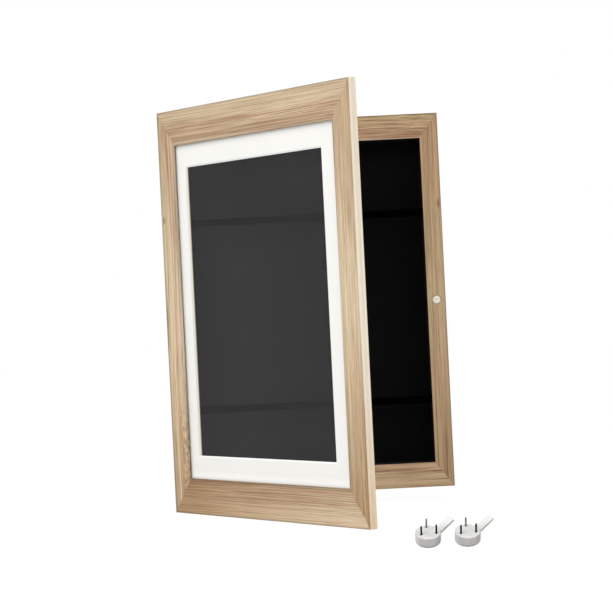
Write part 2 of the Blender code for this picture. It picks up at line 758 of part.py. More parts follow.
# Glazier's points: steel tabs pushed into the rabbet wall behind the mat
point_front = mat_rear + seat_gap
point_spots = []
for share in rail_point_shares:
    point_spots += [("top", share * sight_width / 2, 1), ("bottom", share * sight_width / 2, -1)]
for share in stile_point_shares:
    point_spots += [("right", share * sight_height / 2, 1), ("left", share * sight_height / 2, -1)]
slots = {side: bmesh.new() for side in door}
for side, along, sign in point_spots:
    point = bmesh.new()
    upright = side in ("top", "bottom")
    wall = sight_height / 2 + door_rail_width * door_rabbet_share
    if not upright:
        wall = sight_width / 2 + door_stile_width * door_rabbet_share
    for shape, play in ((point, 0), (slots[side], seat_gap)):
        near = wall + point_bite - point_length if not play else wall - overrun
        far = wall + point_bite + play
        half = point_width / 2 + play
        y_low, y_high = point_front - play, point_front + point_thickness + play
        low, high = (near, far) if sign > 0 else (-far, -near)
        start, stop = along - half, along + half
        if upright:
            add_box((door_middle + start, y_low, low), (door_middle + stop, y_high, high), shape)
        else:
            add_box((door_middle + low, y_low, start), (door_middle + high, y_high, stop), shape)
    if upright:
        end = "left" if along < 0 else "right"
    else:
        end = "lower" if along < 0 else "upper"
    publish("mat_point_" + side + "_" + end, point, zinc, on_door=True)

door_names = {
    "top": "door_top_rail", "bottom": "door_bottom_rail",
    "left": "door_left_stile", "right": "door_right_stile",
}
door_places = {
    "top": (door_middle, door_back, door_height / 2),
    "bottom": (door_middle, door_back, -door_height / 2),
    "left": (door_middle - door_width / 2, door_back, 0),
    "right": (door_middle + door_width / 2, door_back, 0),
}
for side, name in door_names.items():
    publish(name, cut_away(door[side], [slots[side]]), oak, origin=door_places[side], on_door=True)


# Wall hooks, lying pins up on the level of the door's lower edge
def hook_matrix(index):
    """Places a hook drawn with its pinned face up at the origin, leaning to the viewer."""
    lean = math.radians(hook_lean_degrees)
    face_to_centre = hook_dome_radius - hook_thickness
    centre_height = hook_dome_radius - face_to_centre * math.cos(lean)
    forward = face_to_centre * math.sin(lean)
    in_front = hook_in_front + index * right_hook_nearer
    place = Vector((
        hook_from_middle + index * hook_spacing, cabinet_front - in_front + forward,
        -door_height / 2 + centre_height,
    ))
    return Matrix.Translation(place) @ Matrix.Rotation(lean, 4, "X")


def hook_pin_spots():
    spots = []
    pin_circle_radius = hook_pin_circle / 2
    for turn in hook_pin_degrees:
        angle = math.radians(turn)
        spots.append((pin_circle_radius * math.cos(angle), pin_circle_radius * math.sin(angle), 0))
    return spots


def make_hook_body():
    """Domed disc with a rounded rim, a rising arm at its edge and three sockets for the pins."""
    radius = hook_diameter / 2
    outline = [(0, 0)]
    shoulder_steps = 4
    for step in range(shoulder_steps + 1):
        angle = math.pi / 2 * step / shoulder_steps
        inset = hook_shoulder_radius * (1 - math.sin(angle))
        outline.append((radius - inset, -hook_shoulder_radius * (1 - math.cos(angle))))
    dome_centre = hook_dome_radius - hook_thickness
    rim_x = radius - hook_rim_radius
    rim_to_centre = hook_dome_radius - hook_rim_radius
    meet = math.asin(rim_x / rim_to_centre)
    rim_z = dome_centre - rim_to_centre * math.cos(meet)
    rim_steps = 6
    for step in range(rim_steps + 1):
        angle = (math.pi / 2 - meet) * step / rim_steps
        out, down = hook_rim_radius * math.cos(angle), hook_rim_radius * math.sin(angle)
        outline.append((rim_x + out, rim_z - down))
    dome_steps = 4
    for step in range(dome_steps):
        angle = meet * (dome_steps - 1 - step) / dome_steps
        drop = dome_centre - hook_dome_radius * math.cos(angle)
        outline.append((hook_dome_radius * math.sin(angle) if angle else 0, drop))
    body = add_turned(outline, (0, 0, 0), (0, 0, 1), 48)
    half = hook_arm_width / 2
    reach = radius + hook_arm_length
    start = radius - hook_rim_radius
    inner_reach, inner_half = reach - hook_arm_corner, half - hook_arm_corner
    plan = [
        (start, -half), (inner_reach, -half), (reach, -inner_half),
        (reach, inner_half), (inner_reach, half), (start, half),
    ]
    arm = add_prism([(x, y, -hook_arm_thickness) for x, y in plan], (0, 0, hook_arm_thickness))
    rise = Matrix.Rotation(-math.radians(hook_arm_rise_degrees), 4, "Y")
    swing = Matrix.Rotation(math.radians(hook_arm_turn_degrees), 4, "Z")
    to_root = Matrix.Translation((start, 0, -hook_shoulder_radius - hook_arm_thickness / 2))
    from_root = Matrix.Translation((-start, 0, 0))
    bmesh.ops.transform(arm, matrix=swing @ to_root @ rise @ from_root, verts=arm.verts)
    body = combine(body, arm, "UNION")
    sockets = bmesh.new()
    socket_radius = hook_pin_diameter / 2 + seat_gap
    socket_length = overrun + hook_pin_depth + seat_gap
    for spot in hook_pin_spots():
        base = Vector(spot) + Vector((0, 0, overrun))
        add_rod(base, (0, 0, -1), socket_radius, socket_length, 12, sockets)
    return cut_away(body, [sockets])


def make_hook_pin(spot):
    """A steel pin with a conical point, set in its socket."""
    pin_radius = hook_pin_diameter / 2
    shoulder = hook_pin_stand - hook_pin_diameter
    outline = (
        (0, -hook_pin_depth), (pin_radius, -hook_pin_depth), (pin_radius, shoulder), (0, hook_pin_stand),
    )
    return add_turned(outline, spot, (0, 0, 1), 10)


for index, which in enumerate(("left", "right")):
    placed = hook_matrix(index)
    body = make_hook_body()
    bmesh.ops.transform(body, matrix=placed, verts=body.verts)
    publish(which + "_wall_hook", body, white_plastic, origin=placed.translation, smooth=True)
    for spot, pin_name in zip(hook_pin_spots(), ("rear", "front_left", "front_right")):
        pin = make_hook_pin(spot)
        bmesh.ops.transform(pin, matrix=placed, verts=pin.verts)
        name = which + "_hook_" + pin_name + "_pin"
        publish(name, pin, zinc, origin=placed @ Vector(spot), smooth=True)

print("door opens", door_open_degrees, "degrees in this pose;", len(bpy.data.objects), "objects")
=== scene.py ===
# Finishes, small steel fasteners, light and camera for the children's art frame.
import json
import math

import bmesh
import bpy
from mathutils import Matrix, Vector


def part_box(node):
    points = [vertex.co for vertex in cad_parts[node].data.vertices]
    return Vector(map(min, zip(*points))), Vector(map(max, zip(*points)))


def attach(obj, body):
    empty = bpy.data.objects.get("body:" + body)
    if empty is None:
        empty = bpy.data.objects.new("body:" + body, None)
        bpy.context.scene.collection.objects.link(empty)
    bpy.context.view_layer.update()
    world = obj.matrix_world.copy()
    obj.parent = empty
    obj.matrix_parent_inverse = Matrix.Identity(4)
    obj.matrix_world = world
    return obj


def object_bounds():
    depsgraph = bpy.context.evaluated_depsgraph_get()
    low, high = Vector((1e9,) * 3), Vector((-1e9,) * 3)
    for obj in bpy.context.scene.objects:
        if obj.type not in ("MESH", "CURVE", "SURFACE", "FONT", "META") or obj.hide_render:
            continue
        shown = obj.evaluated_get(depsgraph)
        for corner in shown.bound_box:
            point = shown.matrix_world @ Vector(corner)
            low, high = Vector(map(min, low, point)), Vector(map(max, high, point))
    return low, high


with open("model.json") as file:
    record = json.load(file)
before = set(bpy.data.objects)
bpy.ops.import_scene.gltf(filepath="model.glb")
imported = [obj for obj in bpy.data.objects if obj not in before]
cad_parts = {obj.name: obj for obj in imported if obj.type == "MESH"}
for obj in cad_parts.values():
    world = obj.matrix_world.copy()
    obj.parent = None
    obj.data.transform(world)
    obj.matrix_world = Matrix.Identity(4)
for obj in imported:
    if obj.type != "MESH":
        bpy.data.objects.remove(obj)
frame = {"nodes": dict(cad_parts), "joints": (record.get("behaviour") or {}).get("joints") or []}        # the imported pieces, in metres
nodes = frame["nodes"]
cadBox = [list(corner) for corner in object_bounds()]
millimetre = 0.001
print("loaded", len(nodes), "packed pieces")


# What the joint says about the door
hingeJoint = frame["joints"][0]
hingePoint = Vector(hingeJoint["pos_m"])
doorOpen = math.radians(-hingeJoint["range_deg"][0])        # the lower limit is shut
doorTurn = Matrix.Rotation(-doorOpen, 4, "Z")
doorPlace = Matrix.Translation(hingePoint) @ doorTurn
doorRight = doorTurn @ Vector((1, 0, 0))        # toward the door's free edge


# Small helpers for node trees
noiseSpan = (0.3, 0.7)        # where most of a noise's values lie


def fromSrgb(red, green, blue):        # linear colour of a 0 to 255 display colour
    return tuple(
        (value / 255 / 12.92) if value <= 10 else ((value / 255 + 0.055) / 1.055) ** 2.4
        for value in (red, green, blue)
    ) + (1.0,)


def grey(value):
    return (value,) * 3 + (1.0,)


def put(tree, socket, source):
    if isinstance(source, bpy.types.NodeSocket):
        tree.links.new(source, socket)
    else:
        socket.default_value = source


def calc(tree, operation, *sources, clamp=False):
    node = tree.nodes.new("ShaderNodeMath")
    node.operation = operation
    node.use_clamp = clamp
    for socket, source in zip(node.inputs, sources):
        put(tree, socket, source)
    return node.outputs[0]


def product(tree, first, *others):
    for other in others:
        first = calc(tree, "MULTIPLY", first, other)
    return first


def vectorCalc(tree, operation, *sources):
    node = tree.nodes.new("ShaderNodeVectorMath")
    node.operation = operation
    for socket, source in zip(node.inputs, sources):
        put(tree, socket, source)
    return node.outputs["Value" if operation == "DOT_PRODUCT" else "Vector"]


def spread(tree, value, low, high, toLow=0.0, toHigh=1.0, kind="SMOOTHSTEP"):
    node = tree.nodes.new("ShaderNodeMapRange")
    node.interpolation_type = kind
    for name, source in (("Value", value), ("From Min", low), ("From Max", high),
                         ("To Min", toLow), ("To Max", toHigh)):
        put(tree, node.inputs[name], source)
    return node.outputs["Result"]


def fadeOut(tree, value, full, gone):
    return spread(tree, value, full, gone, 1.0, 0.0)


def cloud(tree, vector, stretch, detail, roughness=0.5):        # stretched noise
    node = tree.nodes.new("ShaderNodeTexNoise")
    put(tree, node.inputs["Vector"], vectorCalc(tree, "MULTIPLY", vector, stretch))
    node.inputs["Scale"].default_value = 1.0
    node.inputs["Detail"].default_value = detail
    node.inputs["Roughness"].default_value = roughness
    return node.outputs["Fac"]


def blendColour(tree, share, first, second, kind="MIX"):
    node = tree.nodes.new("ShaderNodeMix")
    node.data_type = "RGBA"
    node.blend_type = kind
    put(tree, node.inputs["Factor"], share)
    put(tree, node.inputs[6], first)
    put(tree, node.inputs[7], second)
    return node.outputs[2]


def stain(tree, share, colour, shade):        # takes a colour toward its product with a shade
    return blendColour(tree, share, colour, shade, "MULTIPLY")


def ramp(tree, value, stops):
    node = tree.nodes.new("ShaderNodeValToRGB")
    band = node.color_ramp.elements
    while len(band) < len(stops):
        band.new(0.5)
    for element, (place, colour) in zip(band, stops):
        element.position, element.color = place, colour
    put(tree, node.inputs["Fac"], value)
    return node.outputs["Color"]


def axesOf(tree, vector):        # a vector's X, Y and Z
    node = tree.nodes.new("ShaderNodeSeparateXYZ")
    put(tree, node.inputs[0], vector)
    return node.outputs


def objectPlace(tree):
    return tree.nodes.new("ShaderNodeTexCoord").outputs["Object"]


def pieceFrame(tree, place):        # millimetres in a piece's own frame
    node = tree.nodes.new("ShaderNodeMapping")
    node.vector_type = "TEXTURE"
    node.inputs["Location"].default_value = place.translation
    node.inputs["Rotation"].default_value = place.to_euler()
    node.inputs["Scale"].default_value = (millimetre,) * 3
    put(tree, node.inputs["Vector"], objectPlace(tree))
    return node.outputs[0]


def facing(tree, direction):        # 1 on faces that look straight in a direction, 0 on those along it
    normal = tree.nodes.new("ShaderNodeTexCoord").outputs["Normal"]
    return vectorCalc(tree, "DOT_PRODUCT", normal, tuple(direction))


def newGroup(name, inputs, outputs):
    group = bpy.data.node_groups.new(name, "ShaderNodeTree")
    for label, kind, value in inputs:
        socket = group.interface.new_socket(label, in_out="INPUT", socket_type="NodeSocket" + kind)
        if value is not None:
            socket.default_value = value
    for label, kind in outputs:
        group.interface.new_socket(label, in_out="OUTPUT", socket_type="NodeSocket" + kind)
    return group, group.nodes.new("NodeGroupInput").outputs, group.nodes.new("NodeGroupOutput").inputs


def useGroup(tree, group, **values):
    node = tree.nodes.new("ShaderNodeGroup")
    node.node_tree = group
    for socket in node.inputs:
        key = socket.name.replace(" ", "")
        key = key[0].lower() + key[1:]
        if key in values:
            put(tree, socket, values[key])
    return node.outputs


def newMaterial(name):
    material = bpy.data.materials.new(name)
    material.use_nodes = True
    tree = material.node_tree
    return material, tree, tree.nodes["Principled BSDF"].inputs


def coat(tree, shader, look, colour, roughness, height):
    strength, depth = look["bump"]        # the depth is in millimetres
    node = tree.nodes.new("ShaderNodeBump")
    node.inputs["Strength"].default_value = strength
    node.inputs["Distance"].default_value = depth * millimetre
    put(tree, node.inputs["Height"], height)
    put(tree, shader["Normal"], node.outputs["Normal"])
    put(tree, shader["Base Color"], colour)
    put(tree, shader["Roughness"], roughness)
    shader["Specular IOR Level"].default_value = look["specular"]


def mixShaders(tree, share, second):        # from the material's first shader to a second one
    mixer = tree.nodes.new("ShaderNodeMixShader")
    sources = (share, tree.nodes["Principled BSDF"].outputs[0], second.outputs[0])
    for socket, source in zip(mixer.inputs, sources):
        put(tree, socket, source)
    put(tree, tree.nodes["Material Output"].inputs["Surface"], mixer.outputs[0])


def finish(names, material):
    for name in names:
        piece = nodes[name]
        piece.data.materials.clear()
        piece.data.materials.append(material)


# Shared surface effects: first the rings, streaks, fibres and open pores of a straight-grained hardwood
grainForm = {
    "clouds": {        # stretch per millimetre along, through and across the board, detail, roughness
        "sway": ((0.0045, 0.022, 0.022), 1.0), "strength": ((0.004, 0.16, 0.16), 1.0),
        "streaks": ((0.007, 0.70, 0.70), 3.0, 0.62), "fibres": ((0.030, 1.70, 1.70), 2.0),
        "broad": ((0.003, 0.12, 0.12), 1.0), "warmth": ((0.006, 0.30, 0.30), 3.0, 0.6),
        "pores": ((0.11, 3.6, 3.6), 1.0, 0.4),
    },
    "elsewhere": (31.0, 7.0, 13.0), "heartUp": 46.0, "heartBack": 74.0,        # millimetres
    "lateRise": (0.45, 0.88), "lateFall": (0.92, 1.0), "lateStrength": (0.35, 0.6, 0.25, 1.0),
    "streakSpan": (0.34, 0.66), "fibreSpan": (0.32, 0.68), "broadSpan": (0.32, 0.68),
    "warmSpan": (0.33, 0.67), "poreSpan": (0.60, 0.70), "figureSpan": (0.17, 0.76),
    "streakShare": 0.36, "broadShare": 0.14, "lateShare": 0.22, "fibreShare": 0.24,
    "latePores": (0.6, 0.4), "fibreHeight": 0.35,
}


def makeWoodFigure():
    group, given, made = newGroup(
        "woodFigure",
        (("Vector", "Vector", None), ("Ring Spacing", "Float", 2.9), ("Waviness", "Float", 5.0),
         ("Ring Tilt", "Float", 0.02), ("Pore Amount", "Float", 0.6)),
        (("Figure", "Float"), ("Warmth", "Float"), ("Pores", "Float"), ("Grain Height", "Float")),
    )

    def grainCloud(name, vector):
        return cloud(group, vector, *grainForm["clouds"][name])

    sway = calc(group, "SUBTRACT", grainCloud("sway", given["Vector"]), 0.5)
    sway = product(group, sway, given["Waviness"])
    shift = group.nodes.new("ShaderNodeCombineXYZ")
    put(group, shift.inputs["Y"], sway)
    put(group, shift.inputs["Z"], sway)
    swayed = vectorCalc(group, "ADD", given["Vector"], shift.outputs[0])
    axes = axesOf(group, swayed)
    tilted = product(group, axes["X"], given["Ring Tilt"])
    across = calc(group, "ADD", calc(group, "ADD", axes["Z"], grainForm["heartUp"]), tilted)
    depth = calc(group, "ADD", axes["Y"], grainForm["heartBack"])
    squares = [product(group, reach, reach) for reach in (across, depth)]
    radius = calc(group, "SQRT", calc(group, "ADD", *squares))
    ring = calc(group, "FRACT", calc(group, "DIVIDE", radius, given["Ring Spacing"]))
    late = product(group, spread(group, ring, *grainForm["lateRise"]),
                   fadeOut(group, ring, *grainForm["lateFall"]),
                   spread(group, grainCloud("strength", swayed), *grainForm["lateStrength"]))
    fibres = grainCloud("fibres", swayed)
    broad = product(group, spread(group, grainCloud("broad", swayed), *grainForm["broadSpan"]),
                    grainForm["broadShare"])
    streaks = spread(group, grainCloud("streaks", swayed), *grainForm["streakSpan"])
    figure = calc(group, "MULTIPLY_ADD", streaks, grainForm["streakShare"], broad)
    figure = calc(group, "MULTIPLY_ADD", late, grainForm["lateShare"], figure)
    figure = calc(group, "MULTIPLY_ADD", spread(group, fibres, *grainForm["fibreSpan"]),
                  grainForm["fibreShare"], figure)
    figure = spread(group, figure, *grainForm["figureSpan"], kind="LINEAR")
    elsewhere = vectorCalc(group, "ADD", swayed, grainForm["elsewhere"])
    warm = spread(group, grainCloud("warmth", elsewhere), *grainForm["warmSpan"])
    pores = product(group, spread(group, grainCloud("pores", swayed), *grainForm["poreSpan"]),
                    calc(group, "MULTIPLY_ADD", late, *grainForm["latePores"]), given["Pore Amount"])
    height = calc(group, "SUBTRACT", product(group, fibres, grainForm["fibreHeight"]), pores)
    for label, source in (("Figure", figure), ("Warmth", warm), ("Pores", pores), ("Grain Height", height)):
        put(group, made[label], source)
    return group


def makeFineSurface():        # faint mottling and a fine tooth, for plastics, cards and metals
    group, given, made = newGroup(
        "fineSurface",
        (("Vector", "Vector", None), ("Mottle Size", "Float", 6.0), ("Tooth Size", "Float", 0.4)),
        (("Mottle", "Float"), ("Tooth", "Float")),
    )
    for label, detail in (("Mottle", 3.0), ("Tooth", 2.0)):
        node = group.nodes.new("ShaderNodeTexNoise")
        put(group, node.inputs["Vector"], given["Vector"])
        put(group, node.inputs["Scale"], calc(group, "DIVIDE", 1.0, given[label + " Size"]))
        node.inputs["Detail"].default_value = detail
        put(group, made[label], node.outputs["Fac"])
    return group


def useSurface(tree, look, place):        # the fine surface in a piece's own frame, at the look's sizes
    return useGroup(tree, fineSurface, vector=pieceFrame(tree, place), **look["surface"])


def halfAndHalf(tree, surface):
    return calc(tree, "MULTIPLY_ADD", surface["Tooth"], 0.5, product(tree, surface["Mottle"], 0.5))


woodFigure = makeWoodFigure()
fineSurface = makeFineSurface()
print("built the shared surface groups")


# Wood mouldings: one board each, so each has its own figure. Tone and warmth are given at the outer and
# the inner edge, alongTone at the low end, the middle and the high end.
doorWood = {
    "pale": fromSrgb(222, 203, 174), "middle": fromSrgb(200, 177, 148), "deep": fromSrgb(158, 129, 100),
    "cool": (0.98, 1.0, 0.95, 1.0), "warm": (1.0, 0.92, 0.92, 1.0), "deeper": (0.60, 0.47, 0.34, 1.0),
    "pore": fromSrgb(138, 110, 84), "poreAmount": 0.45, "roughness": (0.44, 0.58), "specular": 0.3,
    "arrisWidth": 1.6, "arrisShade": (0.60, 0.67, 0.74, 1.0), "bump": (0.5, 0.08),        # millimetres
}
boxWood = {
    "pale": fromSrgb(196, 173, 140), "middle": fromSrgb(172, 148, 117), "deep": fromSrgb(132, 104, 78),
    "cool": (0.98, 1.0, 0.92, 1.0), "warm": (1.0, 0.87, 0.90, 1.0), "deeper": (0.72, 0.62, 0.58, 1.0),
    "pore": fromSrgb(112, 88, 66), "poreAmount": 0.5, "roughness": (0.49, 0.63), "specular": 0.15,
    "arrisWidth": 1.1, "arrisShade": (0.42, 0.44, 0.40, 1.0), "bump": (0.5, 0.08),        # millimetres
}
plainBoard = {
    "acrossScale": 1.0, "waviness": 5.0, "ringTilt": 0.02, "toneReach": (0.1, 0.9),
    "alongTone": (0.0, 0.0, 0.0), "wall": 1.0, "sightEdge": 0.0, "lipLine": 0.0, "coolLip": 0.0,
    "grooves": 0.0, "curly": False, "knots": (), "streaks": (),
}
boards = {
    "door_top_rail": {
        "shift": (40, 0, 12), "tone": (0.05, 0.31), "toneReach": (0.42, 0.64), "warmth": (0.18, 0.6),
        "alongTone": (0.25, 0.08, 0.0), "acrossScale": 1.9, "arris": 0.8, "wall": 0.2, "grooves": 1.0,
        "lipLine": 0.2, "coolLip": 0.6,
    },
    "door_bottom_rail": {
        "shift": (310, 20, 60), "tone": (-0.06, 0.19), "warmth": (0.35, 0.6), "alongTone": (0.95, 0.45, 0.0),
        "acrossScale": 1.7, "arris": 0.6, "sightEdge": 0.85, "grooves": 1.4,
    },
    "door_left_stile": {
        "shift": (700, 40, 35), "tone": (-0.14, 0.0), "warmth": (0.2, 0.4), "alongTone": (0.62, 0.0, 0.55),
        "acrossScale": 0.72, "arris": 0.9, "arrisWidth": 3.6, "lipLine": 0.6, "coolLip": 0.9, "grooves": 0.3,
        "curly": True, "knots": ((0.731, 0.15, 9.0, 4.2),),
        "streaks": ((0.375, 0.055, 0.0, 0.45, 1.42), (0.18, 0.09, 0.0, 0.2, 0.86)),
    },
    "door_right_stile": {
        "shift": (1200, 10, 80), "tone": (-0.04, -0.2), "warmth": (0.35, 0.4), "alongTone": (1.0, 0.0, 0.62),
        "acrossScale": 0.8, "arris": 0.7, "sightEdge": 0.1, "lipLine": 0.3, "coolLip": 1.0,
        "streaks": ((0.25, 0.06, 0.02, 0.36, 1.36), (0.72, 0.06, 0.25, 0.75, 1.2),
                    (0.57, 0.05, 0.0, 0.22, 0.76)),
    },
    "cabinet_top_rail": {
        "shift": (90, 55, 30), "tone": (0.1, 0.14), "warmth": (0.0, 1.1), "waviness": 19.0, "ringTilt": 0.05,
        "arris": 1.0, "worn": 0.6,
    },
    "cabinet_bottom_rail": {
        "shift": (510, 30, 75), "tone": (-0.15, 0.0), "warmth": (0.4, 0.6), "arris": 0.45, "worn": 0.1,
    },
    "cabinet_left_stile": {
        "shift": (860, 15, 50), "tone": (-0.04, -0.04), "warmth": (0.3, 0.5), "alongTone": (0.75, 0.0, 0.75),
        "acrossScale": 1.4, "arris": 0.4, "worn": 0.4,
    },
    "cabinet_right_stile": {
        "shift": (1500, 70, 20), "tone": (-0.07, -0.19), "warmth": (0.33, 0.43), "acrossScale": 1.4,
        "alongTone": (0.75, 0.0, 0.9), "arris": 0.75, "worn": 0.25, "knots": ((0.758, 0.15, 13.0, 5.0),),
    },
}
drifting = {        # a slow sideways wander, in shares of the board's width
    "cloud": ((0.011, 0.09, 0.09), 2.0), "blur": 0.9, "warmthReach": (0.15, 0.85), "warmthVaries": 0.9,
}
figureStops = (("pale", 0.05), ("middle", 0.5), ("deep", 1.0))
curl = {        # curly figure near the low end and the sight edge
    "cloud": ((0.19, 0.42, 0.42), 2.0, 0.6), "span": (0.4, 0.6), "deep": (0.66, 0.56, 0.52, 1.0),
    "pale": (1.12, 1.0, 0.94, 1.0), "upShares": (0.14, 0.34), "acrossShares": (0.5, 0.72),
}
streak = {"sway": 0.05, "core": 0.3, "endFade": 0.05, "blueness": 0.7}        # single lines along the board, paler where the gain is above 1 and darker below it
knotLook = {"shade": (0.60, 0.52, 0.45, 1.0), "wobble": 0.9, "core": 0.15}
lipping = {        # the paler strip along the door's free edge, banded through its thickness
    "colour": fromSrgb(250, 241, 222), "figureShare": 0.32, "turns": (0.8, 0.95),
    "bands": ((0.0, 0.97), (0.28, 1.0), (0.46, 0.88), (0.68, 0.92), (0.9, 1.0)),
    "lowShade": (0.97, 0.85, 0.72, 1.0), "lowReach": 110.0,        # millimetres from the low end
}
recessShade = {        # painted shade: what lies deeper than the front is darker
    "depths": (0.7, 1.7), "acrossShares": (0.6, 0.9), "shade": (0.84, 0.82, 0.80, 1.0),        # millimetres
}
innerBands = {        # width in millimetres from the inner edge, and the share of it that the fade takes; the first two bands are painted shade along the sight edge, the third a cooler tint
    "sightEdge": {"width": 3.6, "fade": 2 / 3, "shade": (0.68, 0.66, 0.64, 1.0)},
    "lipLine": {"width": 1.5, "fade": 0.5, "shade": (0.62, 0.67, 0.70, 1.0)},
    "coolLip": {"width": 6.0, "fade": 0.5, "shade": (0.985, 1.04, 1.085, 1.0)},
}
grooves = {        # the moulding's two grooves, in shares of its width; painted light makes them paler, against the shade that falls in them
    "stops": ((0.530, 0.0), (0.545, 1.0), (0.567, 1.0), (0.582, 0.0), (0.860, 0.0), (0.870, 1.0),
              (0.896, 1.0), (0.908, 0.0)),
    "paler": grey(1.25),
}
sightWallShade = {"from": 0.97, "turns": (0.85, 0.95), "shade": grey(0.62)}        # painted shade on the lip's inner wall, which the light hardly reaches
frontTurns = (0.5, 0.8)
innerArris = {"width": 1.1, "fade": 0.5, "worn": fromSrgb(196, 176, 160)}        # millimetres
blackening = {
    "arris": 0.9, "slack": 0.06, "colour": fromSrgb(5, 5, 5), "roughness": grey(0.9),        # millimetres
}


def boardPlace(name):        # the board's own frame has X along its length and Y toward the wall
    base = doorPlace if name.startswith("door") else Matrix.Identity(4)
    return base if name.endswith("rail") else base @ Matrix.Rotation(-math.pi / 2, 4, "Y")


def boardReach(name):        # the lowest and highest corners in the board's own frame, in millimetres
    turnBack = boardPlace(name).inverted()
    corners = [turnBack @ vertex.co / millimetre for vertex in nodes[name].data.vertices]
    return [[pick(corner[axis] for corner in corners) for axis in range(3)] for pick in (min, max)]


def insideMask(tree):        # 1 on the box's inner walls, which are blackened behind the front arris
    left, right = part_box("cabinet_left_stile"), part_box("cabinet_right_stile")
    top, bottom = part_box("cabinet_top_rail"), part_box("cabinet_bottom_rail")
    slack = blackening["slack"] * millimetre
    spot = axesOf(tree, objectPlace(tree))
    mask = calc(tree, "GREATER_THAN", spot["Y"], left[0].y + blackening["arris"] * millimetre)
    for axis, low, high in (("X", left[1].x, right[0].x), ("Z", bottom[1].z, top[0].z)):
        for side, edge in (("GREATER_THAN", low - slack), ("LESS_THAN", high + slack)):
            mask = product(tree, mask, calc(tree, side, spot[axis], edge))
    return mask


def layOut(tree, name):        # where a point lies in its board: in millimetres, and in shares of the board
    place, (low, high) = boardPlace(name), boardReach(name)
    outerEdge = max if "top" in name or "left" in name else min
    outer = outerEdge(low[2], high[2])
    inner = low[2] + high[2] - outer
    spot = pieceFrame(tree, place)
    axes = axesOf(tree, spot)
    across = spread(tree, axes["Z"], outer, inner, kind="LINEAR")
    along = spread(tree, axes["X"], low[0], high[0], kind="LINEAR")
    drift = calc(tree, "SUBTRACT", cloud(tree, spot, *drifting["cloud"]), 0.5)
    blurred = calc(tree, "MULTIPLY_ADD", drift, drifting["blur"], across)
    return {"low": low, "high": high, "outer": outer, "inner": inner, "turn": place.to_3x3(), "spot": spot,
            "axes": axes, "across": across, "along": along, "drift": drift, "blurred": blurred}


def makeFigure(tree, look, lay):
    widened = vectorCalc(tree, "MULTIPLY", lay["spot"], (1.0, 1.0, look["acrossScale"]))
    grain = useGroup(tree, woodFigure, vector=vectorCalc(tree, "ADD", widened, look["shift"]),
                     poreAmount=look["poreAmount"], waviness=look["waviness"], ringTilt=look["ringTilt"])
    tone = spread(tree, lay["blurred"], *look["toneReach"], *look["tone"])
    figure = calc(tree, "ADD", grain["Figure"], tone, clamp=True)
    colour = ramp(tree, figure, [(place, look[shade]) for shade, place in figureStops])
    warmth = spread(tree, lay["blurred"], *drifting["warmthReach"], *look["warmth"])
    varies = calc(tree, "SUBTRACT", grain["Warmth"], 0.5)
    warmth = calc(tree, "MULTIPLY_ADD", varies, drifting["warmthVaries"], warmth, clamp=True)
    colour = stain(tree, 1.0, colour, blendColour(tree, warmth, look["cool"], look["warm"]))
    depths = [(place / 2, grey(depth)) for place, depth in enumerate(look["alongTone"])]
    return grain, figure, stain(tree, ramp(tree, lay["along"], depths), colour, look["deeper"])


def addCurl(tree, colour, lay):
    mottle = spread(tree, cloud(tree, lay["spot"], *curl["cloud"]), *curl["span"])
    curly = stain(tree, 1.0, colour, blendColour(tree, mottle, curl["deep"], curl["pale"]))
    reach = product(tree, fadeOut(tree, lay["along"], *curl["upShares"]),
                    spread(tree, lay["blurred"], *curl["acrossShares"]))
    return blendColour(tree, reach, colour, curly)


def addStreak(tree, colour, lay, middle, half, below, above, gain):        # all but the gain in shares
    swayed = calc(tree, "MULTIPLY_ADD", lay["drift"], streak["sway"], lay["across"])
    offset = calc(tree, "ABSOLUTE", calc(tree, "SUBTRACT", swayed, middle))
    fade = streak["endFade"]
    line = product(tree, fadeOut(tree, offset, streak["core"] * half, half),
                   spread(tree, lay["along"], below - fade, below + fade),
                   fadeOut(tree, lay["along"], above - fade, above + fade))
    return stain(tree, line, colour, (gain, gain, gain ** streak["blueness"], 1.0))


def addKnot(tree, colour, lay, upShare, inShare, length, width):
    low, high = lay["low"][0], lay["high"][0]
    middle = (low + upShare * (high - low), lay["outer"] + inShare * (lay["inner"] - lay["outer"]))
    squares = []
    for axis, place, size in zip("XZ", middle, (length, width)):
        share = calc(tree, "DIVIDE", calc(tree, "SUBTRACT", lay["axes"][axis], place), size / 2)
        squares.append(product(tree, share, share))
    distance = calc(tree, "SQRT", calc(tree, "ADD", *squares))
    distance = calc(tree, "MULTIPLY_ADD", lay["drift"], knotLook["wobble"], distance)
    return stain(tree, fadeOut(tree, distance, knotLook["core"], 1.0), colour, knotLook["shade"])


def addLipping(tree, colour, lay):
    low, high = lay["low"], lay["high"]
    through = spread(tree, lay["axes"]["Y"], low[1], high[1], kind="LINEAR")
    bands = ramp(tree, through, [(place, grey(value)) for place, value in lipping["bands"]])
    paler = stain(tree, 1.0, blendColour(tree, lipping["figureShare"], lipping["colour"], colour), bands)
    nearEnd = spread(tree, lay["axes"]["X"], low[0], low[0] + lipping["lowReach"], 1.0, 0.0, "LINEAR")
    paler = stain(tree, nearEnd, paler, lipping["lowShade"])
    return blendColour(tree, spread(tree, facing(tree, doorRight), *lipping["turns"]), colour, paler)


def innerBand(tree, lay, band):        # 1 at the board's inner edge
    start = 1 - band["width"] / (lay["high"][2] - lay["low"][2])
    return spread(tree, lay["across"], start, start + (1 - start) * band["fade"])


